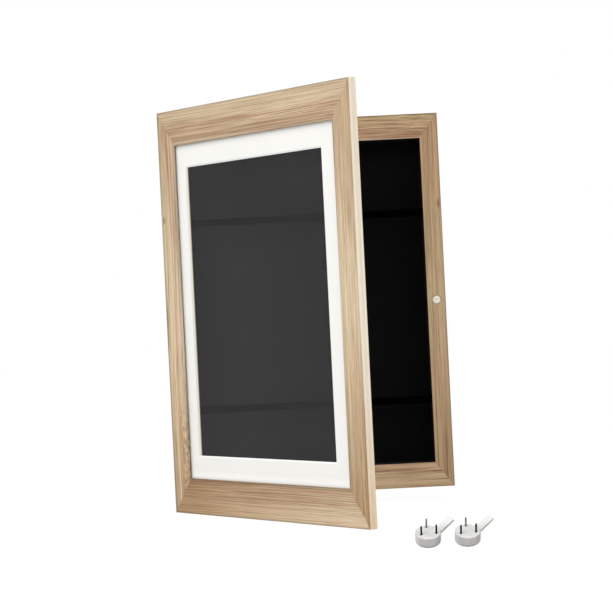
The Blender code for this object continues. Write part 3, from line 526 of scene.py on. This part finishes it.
def dressDoorMoulding(tree, colour, look, lay):
    # painted shade on the deeper part of the moulding near the sight edge
    depths = [lay["low"][1] + depth for depth in recessShade["depths"]]
    sunk = product(tree, spread(tree, lay["axes"]["Y"], *depths),
                   spread(tree, lay["across"], *recessShade["acrossShares"]))
    colour = stain(tree, sunk, colour, recessShade["shade"])
    # painted shade in bands along the sight edge, and a cooler tint there
    for name, band in innerBands.items():
        colour = stain(tree, product(tree, innerBand(tree, lay, band), look[name]), colour, band["shade"])
    # painted light in the two grooves
    grooveLight = ramp(tree, lay["across"], [(place, grey(value)) for place, value in grooves["stops"]])
    colour = stain(tree, product(tree, grooveLight, look["grooves"]), colour, grooves["paler"])
    # painted shade on the lip's inner wall
    inward = lay["turn"] @ Vector((0, 0, lay["inner"] - lay["outer"])).normalized()
    wall = product(tree, spread(tree, facing(tree, inward), *sightWallShade["turns"]),
                   calc(tree, "GREATER_THAN", lay["across"], sightWallShade["from"]), look["wall"])
    return stain(tree, wall, colour, sightWallShade["shade"])


def makeBoard(name, board):
    onDoor = name.startswith("door")
    look = {**plainBoard, **(doorWood if onDoor else boxWood), **board}
    material, tree, shader = newMaterial(name + "_wood")
    lay = layOut(tree, name)
    grain, figure, colour = makeFigure(tree, look, lay)
    if look["curly"]:
        colour = addCurl(tree, colour, lay)
    for marks, addMark in (("streaks", addStreak), ("knots", addKnot)):
        for mark in look[marks]:
            colour = addMark(tree, colour, lay, *mark)
    if name == "door_right_stile":
        colour = addLipping(tree, colour, lay)
    colour = blendColour(tree, grain["Pores"], colour, look["pore"])
    roughness = spread(tree, figure, 0.0, 1.0, *look["roughness"], "LINEAR")
    if onDoor:
        colour = dressDoorMoulding(tree, colour, look, lay)
    # painted shade along the outer arris: a dark line at the board's outer edge
    front = spread(tree, facing(tree, lay["turn"] @ Vector((0, -1, 0))), *frontTurns)
    share = look["arrisWidth"] / (lay["high"][2] - lay["low"][2])
    arrisShadeShare = product(tree, fadeOut(tree, lay["across"], share / 2, share), front, look["arris"])
    colour = stain(tree, arrisShadeShare, colour, look["arrisShade"])
    if not onDoor:
        worn = product(tree, innerBand(tree, lay, innerArris), front, look["worn"])
        colour = blendColour(tree, worn, colour, innerArris["worn"])
        black = insideMask(tree)
        colour = blendColour(tree, black, colour, blackening["colour"])
        roughness = blendColour(tree, black, roughness, blackening["roughness"])
    coat(tree, shader, look, colour, roughness, grain["Grain Height"])
    finish([name], material)


for boardName, board in boards.items():
    makeBoard(boardName, board)
print("finished", len(boards), "wood mouldings")


# Boards, card and clear sheet
backBoard = {
    "front": (fromSrgb(10, 10, 10), fromSrgb(8, 8, 8)),
    "rear": (fromSrgb(108, 80, 57), fromSrgb(130, 101, 75)), "fleckSpan": (0.38, 0.62),
    "rearFrom": -0.5,        # millimetres from the wall
    "dusty": fromSrgb(30, 30, 30), "dustier": fromSrgb(35, 35, 35), "dustiest": fromSrgb(37, 37, 37),
    "dustyFrom": (60.0, 8.0), "dustierFrom": (0.0, -90.0),        # millimetres from the middle; the painted light grows toward the hinge side
    "upward": (20.0, 140.0, 0.15, 1.0),        # millimetres above the middle, and shares there
    "surface": {"mottleSize": 14.0, "toothSize": 0.7}, "roughness": (0.82, 0.95), "bump": (0.3, 0.05),
    "specular": 0.03,
}
middleOfBoxReach = ((45.0, 5.0), (-65.0, -12.0))        # millimetres from the middle


def middleOfBoxMask(tree, axes):        # 1 near the middle of the box, fading to 0 toward its sides
    return product(tree, *(spread(tree, axes["X"], *reach) for reach in middleOfBoxReach))


def makeBackBoard():
    material, tree, shader = newMaterial("black_hardboard")
    axes = axesOf(tree, pieceFrame(tree, Matrix.Identity(4)))
    surface = useSurface(tree, backBoard, Matrix.Identity(4))
    fleck = spread(tree, halfAndHalf(tree, surface), *backBoard["fleckSpan"])
    brown = blendColour(tree, fleck, *backBoard["rear"])
    black = blendColour(tree, surface["Mottle"], *backBoard["front"])
    # painted light: the black front turns a lighter grey toward the hinge side and higher up near the middle,
    # where the open door shades the board
    dust = blendColour(tree, spread(tree, axes["X"], *backBoard["dustierFrom"]),
                       backBoard["dusty"], backBoard["dustier"])
    upper = product(tree, middleOfBoxMask(tree, axes), spread(tree, axes["Z"], *backBoard["upward"]))
    dust = blendColour(tree, upper, dust, backBoard["dustiest"])
    black = blendColour(tree, spread(tree, axes["X"], *backBoard["dustyFrom"]), black, dust)
    rear = calc(tree, "GREATER_THAN", axes["Y"], backBoard["rearFrom"])
    coat(tree, shader, backBoard, blendColour(tree, rear, black, brown),
         spread(tree, surface["Tooth"], *noiseSpan, *backBoard["roughness"]), surface["Tooth"])
    finish(["back_panel"], material)


matCard = {
    "face": (fromSrgb(239, 238, 234), fromSrgb(243, 242, 238)), "bevelFrom": (0.75, 0.95),
    "bevel": (fromSrgb(250, 250, 248), fromSrgb(215, 212, 203)), "hingeBevelFrom": (0.4, 0.65),
    "lipShade": (0.80, 0.79, 0.78, 1.0), "lipShadeReach": (0.0, 6.5),        # painted shadow, millimetres below the top lip
    "low": fromSrgb(255, 254, 250), "lowReach": (1.0, 9.0),        # painted light, millimetres above the bottom lip
    "surface": {"mottleSize": 22.0, "toothSize": 0.5}, "roughness": (0.78, 0.9), "bump": (0.25, 0.03),
    "specular": 0.2,
}


def makeMatCard():        # white mount card with a soft tooth; the bevel shows its brighter core, with painted shade on the hinge-side bevel
    material, tree, shader = newMaterial("mount_card")
    surface = useSurface(tree, matCard, doorPlace)
    height = axesOf(tree, pieceFrame(tree, doorPlace))["Z"]
    sill, lip = boardReach("door_bottom_rail")[1][2], boardReach("door_top_rail")[0][2]
    colour = blendColour(tree, surface["Mottle"], *matCard["face"])
    # painted light on the card just above the bottom rail
    paintedSillLight = fadeOut(tree, height, *(sill + reach for reach in matCard["lowReach"]))
    colour = blendColour(tree, paintedSillLight, colour, matCard["low"])
    # painted shadow on the card under the top rail
    paintedLipShadow = fadeOut(tree, height, *(lip - reach for reach in matCard["lipShadeReach"]))
    colour = stain(tree, paintedLipShadow, colour, matCard["lipShade"])
    straight = calc(tree, "ABSOLUTE", facing(tree, doorTurn @ Vector((0, 1, 0))))
    onBevel = fadeOut(tree, straight, *matCard["bevelFrom"])
    # painted shade: the bevel on the hinge side is darker
    hingeBevelShade = spread(tree, facing(tree, doorRight), *matCard["hingeBevelFrom"])
    bevel = blendColour(tree, hingeBevelShade, *matCard["bevel"])
    coat(tree, shader, matCard, blendColour(tree, onBevel, colour, bevel),
         spread(tree, surface["Tooth"], *noiseSpan, *matCard["roughness"]), surface["Tooth"])
    finish(["mat_board"], material)


clearSheet = {
    "index": 1.196, "tint": ((0.985, 0.99, 0.985, 1.0), grey(0.99)),
    "surface": {"mottleSize": 60.0, "toothSize": 9.0},
}


def makeClearSheet():        # clear low-glare sheet; lamps and soft light pass it unbent
    material, tree, shader = newMaterial("clear_sheet")
    surface = useSurface(tree, clearSheet, doorPlace)
    put(tree, shader["Base Color"], blendColour(tree, surface["Mottle"], *clearSheet["tint"]))
    shader["Transmission Weight"].default_value = 1.0
    shader["Roughness"].default_value = 0.0
    shader["IOR"].default_value = clearSheet["index"]
    path = tree.nodes.new("ShaderNodeLightPath").outputs
    lets = calc(tree, "MAXIMUM", path["Is Shadow Ray"], path["Is Diffuse Ray"])
    mixShaders(tree, lets, tree.nodes.new("ShaderNodeBsdfTransparent"))
    finish(["clear_glazing"], material)


makeBackBoard()
makeMatCard()
makeClearSheet()


# Woven elastic, metals and moulded plastic
elastic = {
    "pitches": (("X", 0.7), ("Z", 0.85)), "pickShares": (0.6, 0.4),        # millimetres
    "colour": (fromSrgb(1, 1, 1), fromSrgb(3, 3, 3)), "dust": fromSrgb(19, 19, 19),
    "roughness": (0.95, 0.75), "bump": (0.6, 0.15), "specular": 0.0,
}


def makeElastic():
    material, tree, shader = newMaterial("woven_elastic")
    axes = axesOf(tree, pieceFrame(tree, Matrix.Identity(4)))
    waves = []
    for axis, pitch in elastic["pitches"]:
        turns = product(tree, axes[axis], 2 * math.pi / pitch)
        waves.append(calc(tree, "MULTIPLY_ADD", calc(tree, "SINE", turns), 0.5, 0.5))
    weave = product(tree, waves[1], calc(tree, "MULTIPLY_ADD", waves[0], *elastic["pickShares"]))
    black = blendColour(tree, weave, *elastic["colour"])
    # the straps turn a lighter black near the middle of the box
    coat(tree, shader, elastic, blendColour(tree, middleOfBoxMask(tree, axes), black, elastic["dust"]),
         spread(tree, weave, 0.0, 1.0, *elastic["roughness"]), weave)
    finish(["upper_elastic_strap", "lower_elastic_strap"], material)


metalSurface = {
    "surface": {"mottleSize": 1.6, "toothSize": 0.18}, "toneSpan": (0.35, 0.65),
    "roughness": (-0.07, 0.1), "bump": (0.3, 0.02), "specular": 0.5,
}
metals = {        # dark and bright colour, roughness
    "nickel_plate": (fromSrgb(212, 205, 189), fromSrgb(222, 215, 200), 0.46),
    "zinc_plate": (fromSrgb(168, 170, 170), fromSrgb(205, 206, 204), 0.36),
    "brassed_steel": (fromSrgb(168, 140, 84), fromSrgb(205, 178, 118), 0.3),
    "pin_steel": (fromSrgb(108, 108, 100), fromSrgb(150, 150, 140), 0.34),
    "blued_steel": (fromSrgb(4, 4, 4), fromSrgb(14, 14, 14), 0.5),
}
wearers = {
    "nickel_plate": ["catch_magnet", "strike_tack"],
    "zinc_plate": [name for name in nodes if "mat_point" in name or "hanger" in name],
    "brassed_steel": [name for name in nodes if "_hinge_" in name],
    "pin_steel": [name for name in nodes if name.endswith("hook_rear_pin")],
    "blued_steel": [name for name in nodes if "hook_front" in name or "staple" in name],
}


def makeMetal(name, dark, bright, roughness):
    material, tree, shader = newMaterial(name)
    surface = useSurface(tree, metalSurface, Matrix.Identity(4))
    tone = spread(tree, halfAndHalf(tree, surface), *metalSurface["toneSpan"])
    limits = [roughness + change for change in metalSurface["roughness"]]
    coat(tree, shader, metalSurface, blendColour(tree, tone, dark, bright),
         spread(tree, surface["Mottle"], *noiseSpan, *limits), surface["Tooth"])
    shader["Metallic"].default_value = 1.0
    finish(wearers[name], material)
    return material


metalLooks = {name: makeMetal(name, *look) for name, look in metals.items()}


hookPlastic = {
    "colour": (fromSrgb(209, 207, 206), fromSrgb(219, 218, 217)), "colourSpan": (0.35, 0.65),
    "underside": (0.52, 0.51, 0.50, 1.0), "turnsUnder": (0.25, -0.75),
    "farSide": (0.66, 0.65, 0.64, 1.0), "turnsAway": (0.35, 0.95),
    "armTip": fromSrgb(232, 232, 230), "armShares": (0.56, 0.85),        # shares of the hook's height
    "surface": {"mottleSize": 5.0, "toothSize": 0.3}, "roughness": (0.34, 0.46), "bump": (0.2, 0.02),
    "specular": 0.5, "softness": 0.1, "softReach": 1.0,        # millimetres
}


def makeHookPlastic():
    material, tree, shader = newMaterial("moulded_plastic")
    surface = useSurface(tree, hookPlastic, Matrix.Identity(4))
    cloudy = spread(tree, surface["Mottle"], *hookPlastic["colourSpan"])
    colour = blendColour(tree, cloudy, *hookPlastic["colour"])
    low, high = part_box("left_wall_hook")
    rises = [low.z + share * (high.z - low.z) for share in hookPlastic["armShares"]]
    height = axesOf(tree, objectPlace(tree))["Z"]
    colour = blendColour(tree, spread(tree, height, *rises), colour, hookPlastic["armTip"])
    # painted shade: faces turned down, and faces turned toward +X, are darker
    paintedUnderShade = spread(tree, facing(tree, (0, 0, 1)), *hookPlastic["turnsUnder"])
    colour = stain(tree, paintedUnderShade, colour, hookPlastic["underside"])
    paintedFarShade = spread(tree, facing(tree, (1, 0, 0)), *hookPlastic["turnsAway"])
    coat(tree, shader, hookPlastic, stain(tree, paintedFarShade, colour, hookPlastic["farSide"]),
         spread(tree, surface["Mottle"], *noiseSpan, *hookPlastic["roughness"]), surface["Tooth"])
    shader["Subsurface Weight"].default_value = hookPlastic["softness"]
    shader["Subsurface Scale"].default_value = hookPlastic["softReach"] * millimetre
    finish(["left_wall_hook", "right_wall_hook"], material)


makeElastic()
makeHookPlastic()
print("finished boards, card, sheet, elastic, metals and plastic")


# Small fixings that aren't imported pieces: glue in the mitres, V-nails and brads
glue = {
    "depth": 0.2, "weld": 0.001,        # millimetres
    "door": fromSrgb(176, 152, 122), "box": fromSrgb(134, 110, 84), "darker": 0.8,
    "surface": {"mottleSize": 4.0, "toothSize": 0.4}, "roughness": (0.5, 0.65),
    "upright": 0.05, "sloping": 0.3,        # parts of a mitre face's outward direction
}
glueRing = {"gap": 0.3, "slack": 0.015, "depth": 1.2, "sunk": 0.12, "steps": 48}        # millimetres
vNail = {"leg": 5.0, "wall": 0.5, "sink": 2.0, "proud": 0.03, "shares": (0.22, 0.48)}        # millimetres
brad = {
    "head": 1.1, "sink": 0.6, "proud": 0.03, "inset": 3.0, "sides": 20,        # millimetres
    "acrossShares": (-0.55, 0.0, 0.55), "upShares": (-0.45, 0.45),
}


def toObject(name, shape, material):
    mesh = bpy.data.meshes.new(name)
    shape.to_mesh(mesh)
    shape.free()
    mesh.materials.append(material)
    piece = bpy.data.objects.new(name, mesh)
    bpy.context.scene.collection.objects.link(piece)
    return piece


def newPiece(name, shape, body, material):
    bmesh.ops.recalc_face_normals(shape, faces=shape.faces)
    piece = toObject(name, shape, material)
    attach(piece, body)


def thicken(shape, faces, way):        # pulls a copy of the faces out to a solid
    grown = bmesh.ops.extrude_face_region(shape, geom=faces)
    moved = [item for item in grown["geom"] if isinstance(item, bmesh.types.BMVert)]
    bmesh.ops.translate(shape, verts=moved, vec=way)


def makeGlueMaterial(name, colour):
    material, tree, shader = newMaterial(name)
    surface = useSurface(tree, glue, Matrix.Identity(4))
    darker = tuple(glue["darker"] * value for value in colour[:3]) + (1.0,)
    mixed = blendColour(tree, surface["Mottle"], colour, darker)
    if name.startswith("cabinet"):
        mixed = blendColour(tree, insideMask(tree), mixed, blackening["colour"])
    put(tree, shader["Base Color"], mixed)
    put(tree, shader["Roughness"], spread(tree, surface["Tooth"], *noiseSpan, *glue["roughness"]))
    return material


def mitreCuts(name):        # the two sloping end faces of a rail: outward direction, corners
    turnBack = boardPlace(name).inverted()
    low, high = boardReach(name)
    mesh, cuts = nodes[name].data, {}
    for face in mesh.polygons:
        outward = turnBack.to_3x3() @ face.normal
        middle = turnBack @ face.center / millimetre
        nearEnd = min(middle.x - low[0], high[0] - middle.x) < high[2] - low[2]
        sloping = min(abs(outward.x), abs(outward.z)) > glue["sloping"]
        if nearEnd and sloping and abs(outward.y) < glue["upright"]:
            end = "right" if outward.x > 0 else "left"
            corners = [mesh.vertices[index].co for index in face.vertices]
            cuts.setdefault(end, (face.normal.copy(), []))[1].append(corners)
    return cuts


def makeGlueLines():
    made = 0
    for owner, wood, slot in (("cabinet", "box", "box_oak"), ("door", "door", "door_oak")):
        material = makeGlueMaterial(owner + "_mitre_glue", glue[wood])
        for level in ("top", "bottom"):
            for end, (outward, faces) in mitreCuts(owner + "_" + level + "_rail").items():
                shape = bmesh.new()
                for corners in faces:
                    shape.faces.new([shape.verts.new(corner) for corner in corners])
                bmesh.ops.remove_doubles(shape, verts=shape.verts, dist=glue["weld"] * millimetre)
                thicken(shape, list(shape.faces), outward * glue["depth"] * millimetre)
                newPiece("_".join((owner, level, end, "mitre_glue")), shape, owner, material)
                made += 1
    print("filled", made, "mitres")


def makeMagnetGlue():
    low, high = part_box("catch_magnet")
    middle, radius = (low + high) / 2, (high.x - low.x) / 2
    inner = radius + glueRing["slack"] * millimetre
    outer = radius + (glueRing["gap"] - glueRing["slack"]) * millimetre
    front = low.y + glueRing["sunk"] * millimetre
    back = front + glueRing["depth"] * millimetre
    section = ((inner, front), (outer, front), (outer, back), (inner, back))
    shape = bmesh.new()
    rings = []
    for step in range(glueRing["steps"]):
        turn = 2 * math.pi * step / glueRing["steps"]
        rings.append([
            shape.verts.new((middle.x + reach * math.cos(turn), y, middle.z + reach * math.sin(turn)))
            for reach, y in section
        ])
    for here, there in zip(rings, rings[1:] + rings[:1]):
        for first in range(len(section)):
            second = (first + 1) % len(section)
            shape.faces.new((here[first], here[second], there[second], there[first]))
    newPiece("catch_magnet_glue", shape, "cabinet", makeGlueMaterial("magnet_glue", glue["box"]))


def addVNail(shape, apex, along):        # a bent steel leaf across a mitre, its two legs running inward
    across = Vector((along.z, 0, -along.x))
    leg = vNail["leg"] / math.sqrt(2)
    thick = along * vNail["wall"] * math.sqrt(2)
    tips = [along * leg + across * leg * side for side in (1, -1)]
    outline = [Vector(), tips[0], tips[0] + thick, thick, tips[1] + thick, tips[1]]
    proud = Vector((0, vNail["proud"], 0))
    face = shape.faces.new([shape.verts.new(apex + proud + point) for point in outline])
    thicken(shape, [face], (0, -vNail["sink"], 0))


def makeVNails():
    for owner, place in (("cabinet", Matrix.Identity(4)), ("door", doorPlace)):
        low, high = boardReach(owner + "_top_rail")
        bottom = boardReach(owner + "_bottom_rail")[0][2]
        stileLow, stileHigh = boardReach(owner + "_left_stile")
        tall, wide = high[2] - low[2], stileHigh[2] - stileLow[2]
        shape = bmesh.new()
        for cornerX, towardX in ((low[0], 1), (high[0], -1)):
            for cornerZ, towardZ in ((bottom, 1), (high[2], -1)):
                along = Vector((towardX * wide, 0, towardZ * tall))
                for share in vNail["shares"]:
                    addVNail(shape, Vector((cornerX, high[1], cornerZ)) + along * share, along.normalized())
        bmesh.ops.transform(shape, matrix=place @ Matrix.Scale(millimetre, 4), verts=shape.verts)
        newPiece(owner + "_v_nails", shape, owner, metalLooks["zinc_plate"])


def makeBrads():
    low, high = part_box("back_panel")
    middle, half = (low + high) / 2, (high - low) / 2
    inset, depth, radius = (brad[size] * millimetre for size in ("inset", "sink", "head"))
    spots = [(share * half.x, side * (half.z - inset)) for share in brad["acrossShares"] for side in (1, -1)]
    spots += [(side * (half.x - inset), share * half.z) for share in brad["upShares"] for side in (1, -1)]
    level = high.y + brad["proud"] * millimetre - depth / 2
    shape = bmesh.new()
    for x, z in spots:
        place = Matrix.Translation((middle.x + x, level, middle.z + z))
        bmesh.ops.create_cone(shape, cap_ends=True, segments=brad["sides"], radius1=radius, radius2=radius,
                              depth=depth, matrix=place @ Matrix.Rotation(math.pi / 2, 4, "X"))
    newPiece("back_panel_brads", shape, "cabinet", metalLooks["zinc_plate"])
    print("drove", len(spots), "brads")


makeGlueLines()
makeMagnetGlue()
makeVNails()
makeBrads()


# Floor, light and camera
floorLook = {
    "drop": 0.15, "span": 9000.0, "squares": 4,        # millimetres
    "colour": (grey(0.80), grey(0.82)), "mottleSize": 0.4, "toothSize": 0.02,        # metres
    "roughness": 0.9, "glow": 1.1, "glowShare": 0.84,
}
worldStrength = 0.78
lamps = {
    "key": {"power": 17.0, "size": 1.0, "place": (-0.75, -1.8, 1.15)},
    "fill": {"power": 6.0, "size": 1.4, "place": (1.5, -1.5, 0.6)},
}


def seenPlainly(tree):        # 1 for rays from the camera, or from gloss and clear sheets
    path = tree.nodes.new("ShaderNodeLightPath").outputs
    seen = path["Is Camera Ray"]
    for name in ("Is Glossy Ray", "Is Transmission Ray"):
        seen = calc(tree, "MAXIMUM", seen, path[name])
    return seen


def makeFloor():
    level = cadBox[0][2] - floorLook["drop"] * millimetre
    sheet = bmesh.new()
    bmesh.ops.create_grid(sheet, x_segments=floorLook["squares"], y_segments=floorLook["squares"],
                          size=floorLook["span"] * millimetre / 2, matrix=Matrix.Translation((0, 0, level)))
    material, tree, shader = newMaterial("pale_floor")
    surface = useGroup(tree, fineSurface, vector=objectPlace(tree), mottleSize=floorLook["mottleSize"],
                       toothSize=floorLook["toothSize"])
    put(tree, shader["Base Color"], blendColour(tree, surface["Mottle"], *floorLook["colour"]))
    shader["Roughness"].default_value = floorLook["roughness"]
    shader["Specular IOR Level"].default_value = 0.0
    glow = tree.nodes.new("ShaderNodeEmission")
    glow.inputs["Strength"].default_value = floorLook["glow"]
    mixShaders(tree, product(tree, seenPlainly(tree), floorLook["glowShare"]), glow)
    floor = toObject("floor", sheet, material)


def makeLight():
    world = bpy.data.worlds.new("softWhite")
    world.use_nodes = True
    tree = world.node_tree
    background = tree.nodes["Background"].inputs
    background["Color"].default_value = grey(1.0)
    put(tree, background["Strength"], spread(tree, seenPlainly(tree), 0.0, 1.0, worldStrength, 1.0, "LINEAR"))
    bpy.context.scene.world = world
    for name, settings in lamps.items():
        light = bpy.data.lights.new(name, "AREA")
        light.energy, light.size = settings["power"], settings["size"]
        lamp = bpy.data.objects.new(name, light)
        lamp.location = settings["place"]
        lamp.rotation_euler = (-lamp.location).to_track_quat("-Z", "Y").to_euler()
        bpy.context.scene.collection.objects.link(lamp)


cameraSettings = {
    "lens": 103.3, "sensor": 36.0,        # millimetres
    "place": (-0.00517, -1.663, 0.0), "nearest": 0.01, "roll": -2.84,        # metres, degrees
}


def makeCamera():
    data = bpy.data.cameras.new("camera")
    data.lens = cameraSettings["lens"]
    data.sensor_width = cameraSettings["sensor"]
    data.clip_start = cameraSettings["nearest"]
    camera = bpy.data.objects.new("camera", data)
    camera.matrix_world = (
        Matrix.Translation(cameraSettings["place"]) @ Matrix.Rotation(math.pi / 2, 4, "X")
        @ Matrix.Rotation(math.radians(cameraSettings["roll"]), 4, "Z")
    )
    bpy.context.scene.collection.objects.link(camera)
    bpy.context.scene.camera = camera


makeFloor()
makeLight()
makeCamera()
bpy.context.scene.view_settings.view_transform = "Standard"
print("set the floor, the light and the camera")
